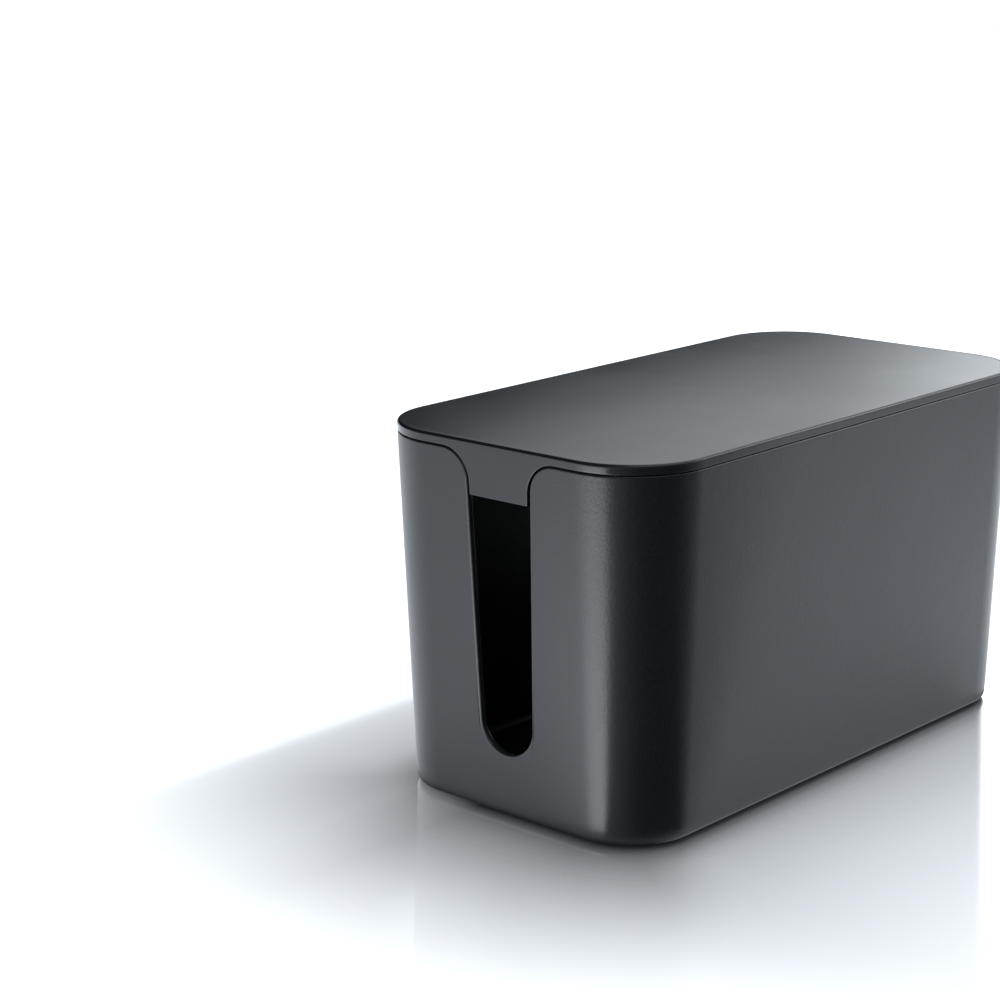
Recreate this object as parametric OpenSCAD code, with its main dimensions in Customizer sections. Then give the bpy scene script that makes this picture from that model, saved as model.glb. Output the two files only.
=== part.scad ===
// Cable management box: a drafted tub with a flared cable slot in each end, a lift-off lid
// whose flaps close the tops of the slots, and four rubber feet.
// Millimetres. +X is the length, +Y the depth, +Z up. The origin is on the table, under the centre.

/* [Box] */
// Length of the box over the lid
box_length = 236; // [200:1:420]
// Depth of the box over the lid
box_depth = 124; // [110:1:170]
// Height of the box from the table to the top of the lid
box_height = 130; // [100:1:170]
// Radius of the upright corners at the top of the lid
corner_radius = 29; // [22:1:34]
// Lean of the walls from upright, in degrees
wall_draft = 2.2; // [1:0.1:3]
// Thickness of the walls
wall = 2.6; // [2.2:0.1:3.2]
// Thickness of the floor
floor_thickness = 2.8; // [2.4:0.1:4]
// Radius of the edge where the walls turn under the floor
under_radius = 2; // [1:0.1:2.4]
// Radius of the fillet inside the box, round the floor
floor_fillet = 3; // [2:0.25:6]
// Radius of the two edges of the rim
rim_radius = 0.8; // [0.4:0.1:1]

/* [Cable slots] */
// Width of a slot across its round lower end
slot_width = 22.8; // [16:0.2:28]
// Height of the lowest point of a slot above the table
slot_bottom = 23; // [16:0.5:40]
// Lean of the sides of a slot from upright, in degrees
slot_draft = 1.6; // [0.5:0.1:2.5]
// Radius of the corners where a slot opens into the rim
slot_flare = 10.5; // [7:0.5:12]

/* [Lid] */
// Height of the band that shows round the lid's edge
band_height = 3.3; // [3:0.1:4.5]
// Shadow gap between the lid's band and the rim
seam_gap = 0.25; // [0.2:0.05:0.6]
// How far in from the edge of the lid the shadow gap reaches
seam_depth = 1.3; // [1:0.1:1.5]
// Thickness of the lid's top plate
plate_thickness = 2.4; // [2:0.1:2.8]
// Radius of the edge round the lid's top
top_radius = 1; // [0.6:0.1:1.5]
// Depth of the skirt and of the flaps below the top of the lid
skirt_reach = 18.5; // [15:0.5:22]
// Thickness of the skirt
skirt_thickness = 2; // [1.6:0.1:2.6]
// Clearance between the skirt and the walls
skirt_gap = 1.2; // [0.8:0.1:1.6]
// Thickness of the flaps
flap_thickness = 2.4; // [2:0.1:3]
// Clearance between a flap and the sides of its slot
flap_gap = 0.9; // [0.6:0.05:1.2]

/* [Catches] */
// Length of a catch rib on the skirt, with its round ends
catch_length = 12; // [8:0.5:14]
// Radius of a catch rib
catch_radius = 1.6; // [1.3:0.1:2]
// Running clearance between a catch rib and the wall
catch_gap = 0.15; // [0.1:0.05:0.3]

/* [Feet] */
// Diameter of a foot
foot_diameter = 12; // [8:0.5:16]
// Thickness of a foot
foot_thickness = 1.8; // [1.4:0.1:2.4]
// Depth of the recess that a foot is stuck into
recess_depth = 0.8; // [0.5:0.1:1]
// Clearance round a foot in its recess
recess_gap = 0.2; // [0.1:0.05:0.4]
// Radius of the lower edge of a foot
foot_radius = 0.4; // [0.2:0.1:0.6]

/* [Hidden] */

$fn = 96;
arc_steps = 6;    // facets across a small rounded edge
over = 1;         // how far a cutter runs past what it cuts

case_colour = [0.17, 0.18, 0.19];
lid_colour = [0.20, 0.21, 0.22];
rubber_colour = [0.08, 0.08, 0.08];

// Centres of the upright corners, which every wall, lid edge and skirt is carried round.
centre_x = box_length / 2 - corner_radius;
centre_y = box_depth / 2 - corner_radius;

// Heights above the table.
under_z = foot_thickness - recess_depth;
floor_z = under_z + floor_thickness;
band_z = box_height - band_height;
rim_z = band_z - seam_gap;
skirt_z = box_height - skirt_reach;
plate_z = box_height - plate_thickness;
catch_z = (rim_z + skirt_z) / 2;

// Distances in from the outer face of the wall.
skirt_inset = wall + skirt_gap;
hollow_inset = skirt_inset + skirt_thickness;
catch_proud = skirt_gap - catch_gap;

// Slot sizes: centre of its round end, centre height of a flare and half its width at a height.
slot_radius = slot_width / 2;
slot_z = slot_bottom + slot_radius;
flare_z = rim_z - slot_flare;
function slot_half(z) = slot_radius / cos(slot_draft) + (z - slot_z) * tan(slot_draft);
slot_reach = box_length / 2 + over;

// Distance from a corner's centre to a surface that lies inset from the outer face, at height z.
function face(z, inset = 0) = corner_radius - (box_height - z) * tan(wall_draft) - inset;

// Points of an arc, for the rounded edges of the profiles.
function arc(x, z, radius, from, to) =
    [for (i = [0:arc_steps]) let (a = from + (to - from) * i / arc_steps) [x + radius * cos(a), z + radius * sin(a)]];

// The section that a profile makes on both sides of a box, half being its corner centre.
function both_sides(profile, half) = concat(
    [for (p = profile) [half + p.x, p.y]],
    [for (i = [len(profile) - 1:-1:0]) [-half - profile[i].x, profile[i].y]]);

// A solid whose side profile, given as [distance from corner centre, height], runs round the four corners.
module carried_round(profile) {
    for (x = [-centre_x, centre_x], y = [-centre_y, centre_y])
        translate([x, y, 0])
            rotate_extrude() polygon(profile);
    rotate([90, 0, 0])
        linear_extrude(2 * centre_y, center = true) polygon(both_sides(profile, centre_x));
    rotate([90, 0, 90])
        linear_extrude(2 * centre_x, center = true) polygon(both_sides(profile, centre_y));
}

// The slot's outline through both ends. For the flaps, side_gap moves its sides in and top_gap
// lifts its level top, so the flares keep touching both.
module slot_prism(low, high, side_gap = 0, top_gap = 0) {
    flare = slot_flare + side_gap;
    flare_low = flare_z - side_gap + top_gap;
    flare_out = slot_half(flare_low) + slot_flare / cos(slot_draft);
    low_half = slot_half(slot_z) - side_gap / cos(slot_draft);
    flare_half = slot_half(flare_low) - side_gap / cos(slot_draft);
    rotate([90, 0, 90])
        linear_extrude(2 * slot_reach, center = true)
            intersection() {
                translate([-box_depth / 2, low]) square([box_depth, high - low]);
                union() {
                    translate([0, slot_z]) circle(slot_radius - side_gap);
                    polygon([
                        [-low_half, slot_z], [low_half, slot_z],
                        [flare_half, flare_low], [-flare_half, flare_low]]);
                    difference() {
                        translate([-flare_out, flare_low]) square([2 * flare_out, high - flare_low]);
                        for (side = [-1, 1]) translate([side * flare_out, flare_low]) circle(flare);
                    }
                }
            }
}

// The tub: drafted walls on a floor, with both slots and the recesses for the feet.
module box_body() {
    outer = concat(
        [[0, under_z]],
        arc(face(under_z + under_radius) - under_radius, under_z + under_radius, under_radius, -90, 0),
        arc(face(rim_z) - rim_radius, rim_z - rim_radius, rim_radius, 0, 90),
        [[0, rim_z]]);
    inner = concat(
        [[0, floor_z]],
        arc(face(floor_z + floor_fillet, wall) - floor_fillet, floor_z + floor_fillet, floor_fillet, -90, 0),
        arc(face(rim_z, wall) + rim_radius, rim_z - rim_radius, rim_radius, 180, 90),
        [[face(rim_z, wall) + rim_radius, rim_z + over], [0, rim_z + over]]);
    color(case_colour)
        difference() {
            carried_round(outer);
            carried_round(inner);
            slot_prism(slot_bottom - over, rim_z + over);
            for (x = [-centre_x, centre_x], y = [-centre_y, centre_y])
                translate([x, y, under_z - over])
                    cylinder(h = recess_depth + over, d = foot_diameter + 2 * recess_gap);
        }
}

// One rib of the catch, set on the skirt at an end of the lid.
module catch_rib() {
    x = centre_x + face(catch_z, skirt_inset) + catch_proud - catch_radius;
    y = (slot_half(catch_z) + centre_y) / 2;
    straight = catch_length - 2 * catch_radius;
    translate([x, y, catch_z]) {
        rotate([90, 0, 0]) cylinder(h = straight, r = catch_radius, center = true);
        for (end = [-1, 1]) translate([0, end * straight / 2, 0]) sphere(catch_radius);
    }
}

// The lid: a plate with a band level with the walls, a skirt inside them and a flap over each slot.
module lid() {
    shell = concat(
        [[0, skirt_z], [face(skirt_z, skirt_inset), skirt_z], [face(rim_z, skirt_inset), rim_z]],
        [[face(rim_z, seam_depth), rim_z], [face(band_z, seam_depth), band_z], [face(band_z), band_z]],
        arc(face(box_height) - top_radius, box_height - top_radius, top_radius, 0, 90),
        [[0, box_height]]);
    hollow = [
        [0, skirt_z - over], [face(skirt_z - over, hollow_inset), skirt_z - over],
        [face(plate_z, hollow_inset), plate_z], [0, plate_z]];
    flap_outer = [[0, skirt_z], [face(skirt_z), skirt_z], [face(band_z), band_z], [0, band_z]];
    flap_inner = [
        [0, skirt_z - over], [face(skirt_z - over, flap_thickness), skirt_z - over],
        [face(band_z, flap_thickness), band_z], [0, band_z]];
    color(lid_colour) {
        difference() {
            union() {
                carried_round(shell);
                for (x = [0, 1], y = [0, 1]) mirror([x, 0, 0]) mirror([0, y, 0]) catch_rib();
            }
            carried_round(hollow);
            slot_prism(skirt_z - over, rim_z);
        }
        intersection() {
            difference() {
                carried_round(flap_outer);
                carried_round(flap_inner);
            }
            slot_prism(skirt_z - over, band_z, flap_gap, seam_gap);
        }
    }
}

// A foot, stuck up into its recess under a corner.
module foot(x, y) {
    radius = foot_diameter / 2;
    color(rubber_colour)
        translate([centre_x * x, centre_y * y, 0])
            rotate_extrude()
                polygon(concat(
                    [[0, 0]],
                    arc(radius - foot_radius, foot_radius, foot_radius, -90, 0),
                    [[radius, foot_thickness], [0, foot_thickness]]));
}

box_body();
lid();
foot(-1, -1);  // foot_front_left
foot(1, -1);  // foot_front_right
foot(-1, 1);  // foot_back_left
foot(1, 1);  // foot_back_right
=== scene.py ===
# %% [markdown]
# # A cable management box
# The box hides a power strip on a desk. It is two injection mouldings and four rubber
# feet. The tub has leaning walls and, in each end, a U-shaped slot that opens out into
# the rim. The lid drops onto the rim, and a flap at each end closes the top of the slot.
#
# Blender loads the CAD part as a fixed frame and dresses it. Every piece below is a
# surface worked out as whole numpy arrays, at the CAD sizes, in metres.

# %% Load the frame
import math

import bmesh
import bpy
import numpy as np
from mathutils import Matrix, Vector


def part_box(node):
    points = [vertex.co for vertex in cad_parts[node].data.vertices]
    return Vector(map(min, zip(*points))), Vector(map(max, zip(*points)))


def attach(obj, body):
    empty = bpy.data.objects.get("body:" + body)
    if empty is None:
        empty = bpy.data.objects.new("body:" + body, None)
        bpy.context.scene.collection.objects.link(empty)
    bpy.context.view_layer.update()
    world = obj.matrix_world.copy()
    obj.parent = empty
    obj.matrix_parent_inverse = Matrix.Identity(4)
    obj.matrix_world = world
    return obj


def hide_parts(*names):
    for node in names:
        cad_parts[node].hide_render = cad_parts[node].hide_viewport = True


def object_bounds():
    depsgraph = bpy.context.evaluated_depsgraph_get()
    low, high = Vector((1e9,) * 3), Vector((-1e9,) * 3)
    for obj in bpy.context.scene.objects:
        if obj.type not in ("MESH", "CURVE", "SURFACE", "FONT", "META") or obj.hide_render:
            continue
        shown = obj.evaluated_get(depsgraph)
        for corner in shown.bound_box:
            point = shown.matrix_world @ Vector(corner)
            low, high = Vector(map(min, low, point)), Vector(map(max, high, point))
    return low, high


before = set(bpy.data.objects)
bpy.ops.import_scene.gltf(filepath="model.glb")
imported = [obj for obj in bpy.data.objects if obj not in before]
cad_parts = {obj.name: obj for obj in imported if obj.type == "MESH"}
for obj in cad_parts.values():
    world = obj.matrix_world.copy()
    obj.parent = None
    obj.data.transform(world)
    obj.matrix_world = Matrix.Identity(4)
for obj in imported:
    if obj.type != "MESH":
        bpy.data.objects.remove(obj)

cad_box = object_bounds()
print("CAD box:", [tuple(round(v, 4) for v in corner) for corner in cad_box])

# %% [markdown]
# ## The sizes
# The overall size comes from the frame. The rest are the sizes that the mould maker
# drew, written once, and everything below is worked out from them. A moulding needs
# draft, so its walls lean out by a couple of degrees and slide off the core.

# %% Sizes
MM = 0.001
length, depth, height = cad_box[1] - cad_box[0]
corner_radius = 29 * MM
draft = math.radians(2.2)
wall = 2.6 * MM
under_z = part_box("box_body")[0].z
under_radius = 2 * MM
floor_thickness = 2.8 * MM
floor_fillet = 3 * MM
rim_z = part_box("box_body")[1].z
lip_radius = 0.8 * MM

slot_radius = 11.4 * MM
slot_bottom = 23 * MM
slot_draft = math.radians(1.6)
slot_flare = 10.5 * MM

seam_gap = 0.25 * MM
seam_depth = 1.3 * MM
plate_thickness = 2.4 * MM
top_radius = 1 * MM
skirt_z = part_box("lid")[0].z
skirt_thickness = 2 * MM
skirt_gap = 1.2 * MM
flap_thickness = 2.4 * MM
flap_gap = 0.9 * MM
edge_radius = 0.2 * MM
flap_corner = 0.6 * MM
catch_length = 12 * MM
catch_radius = 1.6 * MM
catch_gap = 0.15 * MM

# Past each rounding a further row of points, this far on, keeps the flat face flat.
hold = 0.3 * MM

foot_radius = (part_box("foot_front_left")[1].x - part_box("foot_front_left")[0].x) / 2
foot_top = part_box("foot_front_left")[1].z
foot_edge = 0.4 * MM
recess_gap = 0.2 * MM

centre_x = length / 2 - corner_radius
centre_y = depth / 2 - corner_radius
floor_z = under_z + floor_thickness
band_z = rim_z + seam_gap
plate_z = height - plate_thickness
skirt_inset = wall + skirt_gap
hollow_inset = skirt_inset + skirt_thickness
print(f"box {length / MM:.0f} x {depth / MM:.0f} x {height / MM:.0f} mm, "
      f"rim at {rim_z / MM:.1f} mm")

# %% [markdown]
# ## The camera
# A long lens on a tripod, 0.3 m above the table, turned to the left end of the box. It
# looks at a point beside the box, because the box stands in the right of the picture.
# The place is worked out from the way the camera looks and how far away it stands.

# %% Camera
view_turn = math.radians(-47.53)
view_rise = math.radians(14.17)
view_roll = math.radians(-0.513)
view_distance = 969.1 * MM
view_target = Vector((19.6, 124.4, 65)) * MM
sensor_width = 36
lens_length = 86.25

back = Vector((
    math.sin(view_turn) * math.cos(view_rise),
    -math.cos(view_turn) * math.cos(view_rise),
    math.sin(view_rise),
))
right = Vector((0, 0, 1)).cross(back).normalized()
up = back.cross(right)
rolled_right = right * math.cos(view_roll) + up * math.sin(view_roll)
rolled_up = up * math.cos(view_roll) - right * math.sin(view_roll)

camera_data = bpy.data.cameras.new("camera")
camera_data.sensor_width = sensor_width
camera_data.lens = lens_length
camera = bpy.data.objects.new("camera", camera_data)
camera.matrix_world = Matrix.Translation(view_target + back * view_distance) @ Matrix((
    (rolled_right.x, rolled_up.x, back.x, 0),
    (rolled_right.y, rolled_up.y, back.y, 0),
    (rolled_right.z, rolled_up.z, back.z, 0),
    (0, 0, 0, 1),
))
bpy.context.scene.collection.objects.link(camera)
bpy.context.scene.camera = camera
print("camera at", [round(v, 3) for v in camera.location])

# %% [markdown]
# ## How the shells are described
# The plan is a rectangle with round corners, the same all the way down, only smaller as
# the wall leans in. So a point of a shell is found in two steps: walk along the small
# rectangle that joins the four corner centres, then go out by some distance. The
# distance depends on the height alone. Round the corner it draws a true cone, and along
# the sides a true plane.
#
# Both mouldings are alike left to right and front to back, so a quarter is enough. It
# runs in columns from the middle of the long side, round the corner, to the middle of
# the end. Modelling it as a cube with cuts would be quicker, but then the edges would
# be sharp, and the light that runs along a moulded edge is half of how plastic looks.

# %% The wall and the quarter plan
side_count = 14
corner_count = 26


def face(z, inset=0.0):
    """Distance of a wall from the corner centres: the corner radius, less the height
    below the top times the tangent of the draft, less the inset."""
    return corner_radius - (height - z) * math.tan(draft) - inset


def run(start, stop, count):
    """Evenly spaced values from start up to, but without, stop."""
    return np.linspace(start, stop, count, endpoint=False)


def quarter_plan(end_y):
    """Corner centre x, corner centre y and facing direction of each column: facing +Y
    along the side, turning at the corner, and facing +X at the given y's of the end.
    The side's columns lie closer together towards the corner, as a sine does."""
    side_x = centre_x * np.sin(run(0, math.pi / 2, side_count))
    turn = np.concatenate([
        np.zeros(side_count),
        run(0, math.pi / 2, corner_count),
        np.full(len(end_y), math.pi / 2),
    ])
    x = np.concatenate([side_x, np.full(corner_count + len(end_y), centre_x)])
    y = np.concatenate([np.full(side_count + corner_count, centre_y), end_y])
    return x, y, np.stack([np.sin(turn), np.cos(turn)])


def stand(plan, y, reach, z):
    """Points of a shell as rows of columns: the corner centre, at y along the end, plus
    the reach times the way the column faces, at height z."""
    x, _, facing = plan
    reach, z, y = np.broadcast_arrays(reach, z, y)
    return np.stack([x + reach * facing[0], y + reach * facing[1], z], -1)


def rounding(inset, level, radius, steps=6):
    """(reach, z) of the arc, from the wall down to a level face at z = level. The arc's
    centre lies one radius in from the leaning wall and one radius above the level."""
    angle = np.linspace(-draft, -math.pi / 2, steps + 1)
    touch_z = level + radius - radius * math.sin(draft)
    middle = face(touch_z, inset) - radius * math.cos(draft)
    return middle + radius * np.cos(angle), level + radius + radius * np.sin(angle)


def to_middle(ring, shares):
    """Rows that fill a level face: the ring's x and y times each share. The last share
    is nought, and puts the whole row on the middle of the plan."""
    return ring * np.stack([shares, shares, np.ones_like(shares)], -1)[:, None]


def mix(a, b, share):
    """share 0 gives a and 1 gives b. A column of shares gives rows."""
    return a + (b - a) * share


def down(shares):
    """Shares as a column, so that they run down the rows of a grid."""
    return np.asarray(shares, float)[:, None]


print(f"from top to foot the walls lean in by {(face(height) - face(0)) / MM:.1f} mm")

# %% [markdown]
# ## The slot's outline
# One outline is used three times: for the slot in the tub, a little further in for the
# lid's flap, and for the window in the lid's skirt behind it. It starts level with the
# rim, falls away on a quarter round flare, runs down a slightly leaning side and turns
# round the bottom. Every stretch leaves where the last one arrives, in the same
# direction, so the lip of the tub is one smooth line that dips through the slots.

# %% The slot's outline
flare_count = 16
slot_side_count = 14
slot_round_count = 18
slot_z = slot_bottom + slot_radius
flare_z = rim_z - slot_flare
lean = np.array([math.cos(slot_draft), -math.sin(slot_draft)])


def slot_half(z):
    """Half the slot's width: the line that touches the round end and leans by the draft."""
    return slot_radius / math.cos(slot_draft) + (z - slot_z) * math.tan(slot_draft)


def flare_middle(side_gap=0.0, top_gap=0.0):
    """(y, z) of the flare's centre. Its circle touches the level top, lifted by top_gap,
    and the leaning side, moved in by side_gap."""
    z = flare_z - side_gap + top_gap
    return slot_half(z) + slot_flare / math.cos(slot_draft), z


flare_y = flare_middle()[0]


def circle(centre, radius, start, stop, count):
    """(y, z) on a circle, and the way out from its centre, for angles that start
    pointing up (0) and turn towards the slot (a quarter turn)."""
    angle = run(start, stop, count)
    way = np.stack([-np.sin(angle), np.cos(angle)], 1)
    return np.asarray(centre) + radius * way, way


def straight(start, stop, way, count):
    """(y, z) evenly from start up to, but without, stop, with one way for all."""
    share = run(0, 1, count)[:, None]
    return mix(np.asarray(start), np.asarray(stop), share), np.tile(way, (count, 1))


def flare_arc(side_gap=0.0, top_gap=0.0):
    """The flare, a quarter round from the level top to the leaning side."""
    quarter = math.pi / 2 - slot_draft
    middle = flare_middle(side_gap, top_gap)
    return circle(middle, slot_flare + side_gap, 0, quarter, flare_count)


def side_point(z, inset):
    """Where the outline's leaning side is at height z."""
    return np.array([slot_half(z) - inset / math.cos(slot_draft), z])


print(f"the slot is {2 * slot_half(slot_z) / MM:.1f} mm wide at its round end and "
      f"{2 * slot_half(flare_z) / MM:.1f} mm below its flares")

# %% [markdown]
# ## The tub
# A profile goes up the outside, over the lip and down the inside, and it is carried
# along the lip line. At the slot the lip line leaves the rim, so the profile there turns
# to stand square to the slot's edge, and the wall's rows fan out from the slot down to
# the foot of the wall. The end wall is flat, so the fan lies in its plane.

# %% The tub's lip line
end_count = 5


def tub_lip():
    """Columns of the end, from the corner to the middle of the slot: where the lip is,
    the way into the material, and where the column meets the foot of the wall."""
    level, level_way = straight((centre_y, rim_z), (flare_y, rim_z), (0, -1), end_count)
    flare, flare_way = flare_arc()
    side_top = flare_z + slot_flare * math.sin(slot_draft)
    side_low = slot_z - slot_radius * math.sin(slot_draft)
    side, side_way = straight(
        side_point(side_top, 0), side_point(side_low, 0), lean, slot_side_count
    )
    angle = np.linspace(slot_draft, math.pi / 2, slot_round_count)
    round_way = np.stack([np.cos(angle), -np.sin(angle)], 1)
    round_end = np.array([0, slot_z]) + slot_radius * round_way
    lip = np.concatenate([level, flare, side, round_end])
    way = np.concatenate([level_way, -flare_way, side_way, round_way])
    fan = (flare_y, 0.75 * flare_y, 0.36 * flare_y)
    foot = np.concatenate([
        level[:, 0],
        run(fan[0], fan[1], flare_count),
        run(fan[1], fan[2], slot_side_count),
        np.linspace(fan[2], 0, slot_round_count),
    ])
    return lip, way, foot


end_lip, end_way, end_foot = tub_lip()
before = side_count + corner_count
tub_plan = quarter_plan(end_lip[:, 0])
lip_y = tub_plan[1]
lip_z = np.concatenate([np.full(before, rim_z), end_lip[:, 1]])
way_y = np.concatenate([np.zeros(before), end_way[:, 0]])
way_z = np.concatenate([np.full(before, -1.0), end_way[:, 1]])
foot_y = np.concatenate([np.full(before, centre_y), end_foot])
print("the tub's quarter has", len(lip_y), "columns")


# %% The tub's rows
def lip_profile(thickness, radius, steps=5):
    """(distance into the material, depth through the wall) over a lip: a quarter round,
    a level top and a second quarter round, with a row just beyond each to keep the flat
    faces flat."""
    angle = np.linspace(0, math.pi / 2, steps + 1)
    fall, across = radius * (1 - np.sin(angle)), radius * (1 - np.cos(angle))
    into = np.concatenate([[radius + hold], fall, [0, 0], fall[::-1], [radius + hold]])
    through = np.concatenate([
        [0], across, [radius + hold / 2, thickness - radius - hold / 2],
        thickness - across[::-1], [thickness],
    ])
    worn = np.concatenate([[0], np.ones(steps + 1), [0.5, 0.5], np.ones(steps + 1), [0]])
    return down(into), down(through), worn


def wall_rows(inset, low_z, shares):
    """Rows of a tub wall, from just below the lip (share 0) to height low_z (share 1)."""
    start = lip_radius + hold
    y = mix(lip_y + start * way_y, foot_y, down(shares))
    z = mix(lip_z + start * way_z, low_z, down(shares))
    return stand(tub_plan, y, face(z, inset), z)


level_shares = np.array([0.985, 0.8, 0.6, 0.4, 0.2, 0])
wall_shares = [0.02, 0.1, 0.24, 0.4, 0.56, 0.72, 0.88, 0.97]
under_reach, under_arc_z = rounding(0, under_z, under_radius)
floor_reach, floor_arc_z = rounding(wall, floor_z, floor_fillet)
into, through, lip_worn = lip_profile(wall, lip_radius)
lip_rows_z = lip_z + into * way_z
floor_rows = stand(tub_plan, foot_y, down(floor_reach), down(floor_arc_z))
tub_rows = np.concatenate([
    stand(tub_plan, foot_y, down(under_reach[::-1]), down(under_arc_z[::-1])),
    wall_rows(0, under_arc_z[0], wall_shares[::-1]),
    stand(tub_plan, lip_y + into * way_y, face(lip_rows_z, through), lip_rows_z),
    wall_rows(wall, floor_arc_z[0], wall_shares),
    floor_rows,
    to_middle(floor_rows[-1], level_shares),
])
tub_worn = np.concatenate([
    [0], np.full(len(under_reach) - 1, 0.6), np.zeros(len(wall_shares)), lip_worn,
    np.zeros(len(wall_shares) + len(floor_reach) + len(level_shares)),
])
print("the tub's profile has", len(tub_rows), "rows")

# %% [markdown]
# The underside is flat, with a round recess at each corner centre that keeps a rubber
# foot in its place. Rings lead from the outline in to the recess, over its edge, up its
# wall and to its middle. They are laid out by angle round the recess, so each ring is
# the outline, drawn towards a circle.

# %% The underside with its recess
recess_radius = foot_radius + recess_gap
middle_count = 15
short_count = 8


def underside(outline):
    """Rings from the quarter's outline to the middle of the foot's recess."""
    corner = np.array([centre_x, centre_y])
    outer = outline[:, :2]
    to_centre = 1 - run(0, 1, middle_count)
    middle_line = np.stack([outer[-1, 0] * to_centre, np.zeros(middle_count)], 1)[1:]
    from_centre = run(0, 1, short_count)
    short_line = np.stack([np.zeros(short_count), outer[0, 1] * from_centre], 1)
    ring = np.concatenate([outer, middle_line, short_line, outer[:1]])
    arm = ring - corner
    reach = np.linalg.norm(arm, axis=1, keepdims=True)
    way = arm / reach
    angle = np.linspace(0, math.pi / 2, 4)
    over_edge = recess_radius + edge_radius * (1 - np.sin(angle))
    out = np.concatenate([over_edge, [recess_radius]])
    rise = np.concatenate([edge_radius * (1 - np.cos(angle)), [foot_top - under_z]])
    held = recess_radius + edge_radius + hold
    flat = [mix(reach, held, share) for share in (0, 0.3, 0.6, 0.85, 1)]
    rings = flat + [np.full_like(reach, r) for r in out]
    rings += [reach * 0 + recess_radius * share for share in (0.95, 0.5, 0)]
    rises = [0] * len(flat) + list(rise) + [foot_top - under_z] * 3
    return np.stack([
        np.hstack([corner + r * way, 0 * r + under_z + up]) for r, up in zip(rings, rises)
    ])


under_rows = underside(tub_rows[0])
print("the underside has", under_rows.shape[0], "rings of", under_rows.shape[1], "points")

# %% [markdown]
# ## From grids to a mesh
# A grid of points becomes quads by joining each point to its neighbours. A quarter is
# copied three times with x or y turned over, and a copy turned over once has its faces
# turned back. Points that fall together are merged, which closes the seams between the
# quarters, the poles, and the places where a row runs out to nothing. The wear value
# is kept on each point, so a finish can tell an edge from a face.

# %% Mesh helpers
def quads(rows, columns, first=0):
    """The four corners of each cell of a grid, counted from first."""
    index = first + np.arange(rows * columns).reshape(rows, columns)
    cell = np.stack([index[:-1, :-1], index[1:, :-1], index[1:, 1:], index[:-1, 1:]], -1)
    return cell.reshape(-1, 4)


def gather(grids):
    """Points, faces and wear of several (grid, wear by row) pairs as one set."""
    points, faces, wear, first = [], [], [], 0
    for grid, worn in grids:
        rows, columns = grid.shape[:2]
        points.append(grid.reshape(-1, 3))
        faces.append(quads(rows, columns, first))
        wear.append(np.repeat(np.broadcast_to(worn, rows), columns))
        first += rows * columns
    return np.concatenate(points), np.concatenate(faces), np.concatenate(wear)


def four_ways(points, faces, wear):
    """The quarter and its three reflections. A reflection in one plane turns its faces
    inside out, so their corners are read backwards."""
    count = len(points)
    all_points, all_faces = [], []
    for turn, (sx, sy) in enumerate([(1, 1), (-1, 1), (-1, -1), (1, -1)]):
        all_points.append(points * (sx, sy, 1))
        all_faces.append((faces if sx * sy > 0 else faces[:, ::-1]) + turn * count)
    return np.concatenate(all_points), np.concatenate(all_faces), np.tile(wear, 4)


def signed_volume(mesh):
    """A sixth of the sum of a . (b x c) over the triangles: above zero if they face out."""
    mesh.calc_loop_triangles()
    corners = np.empty(len(mesh.loop_triangles) * 3, np.int32)
    mesh.loop_triangles.foreach_get("vertices", corners)
    points = np.empty(len(mesh.vertices) * 3)
    mesh.vertices.foreach_get("co", points)
    a, b, c = points.reshape(-1, 3)[corners.reshape(-1, 3)].transpose(1, 0, 2)
    return float(np.einsum("ij,ij->", a, np.cross(b, c)) / 6)


same_place = 0.002 * MM
no_length = 0.001 * MM


def make_piece(name, points, faces, wear, sharp=38):
    """A closed mesh object at the origin, with doubles merged, faces outward, smooth
    shading that breaks at edges sharper than the given degrees, and the wear kept."""
    mesh = bpy.data.meshes.new(name)
    mesh.from_pydata(points.tolist(), [], faces.tolist())
    mesh.attributes.new("wear", "FLOAT", "POINT").data.foreach_set("value", wear)
    work = bmesh.new()
    work.from_mesh(mesh)
    bmesh.ops.remove_doubles(work, verts=work.verts, dist=same_place)
    bmesh.ops.dissolve_degenerate(work, edges=work.edges, dist=no_length)
    bmesh.ops.recalc_face_normals(work, faces=work.faces)
    open_edges = sum(1 for e in work.edges if len(e.link_faces) != 2)
    work.to_mesh(mesh)
    work.free()
    mesh.shade_smooth()
    mesh.set_sharp_from_angle(angle=math.radians(sharp))
    piece = bpy.data.objects.new(name, mesh)
    bpy.context.scene.collection.objects.link(piece)
    print(f"{name}: {len(mesh.polygons)} faces, {open_edges} open edges, "
          f"{signed_volume(mesh) * 1e6:.1f} cm3")
    return piece


print("a grid of 3 by 4 points has", len(quads(3, 4)), "quads")

# %% The tub
tub = make_piece("tub", *four_ways(*gather([(tub_rows, tub_worn), (under_rows, 0)])))
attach(tub, "box")
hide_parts("box_body")

# %% [markdown]
# ## The lid
# The lid is a plate with a short band that continues the tub's walls. Under the band a
# step keeps a thin shadow line above the rim, so small errors in fit don't show. A
# skirt hangs inside the walls and centres the lid. At each end the band comes down in a
# flap that fills the top of the slot, and the skirt has a window behind it for cables.
#
# Its profile has two lips: the outer one under the band, which drops round the flap, and
# the inner one under the skirt, which climbs round the window and runs out into the
# ledge. Columns where a stretch is missing have it with no height, and merging the
# doubles removes it.

# %% The lid's two lip lines
skirt_end_count = 26
flap_side_count = 4
flap_corner_count = 4
flap_bottom_count = 8
skirt_level_count = 4
skirt_corner_count = 5
skirt_side_count = 2


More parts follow.
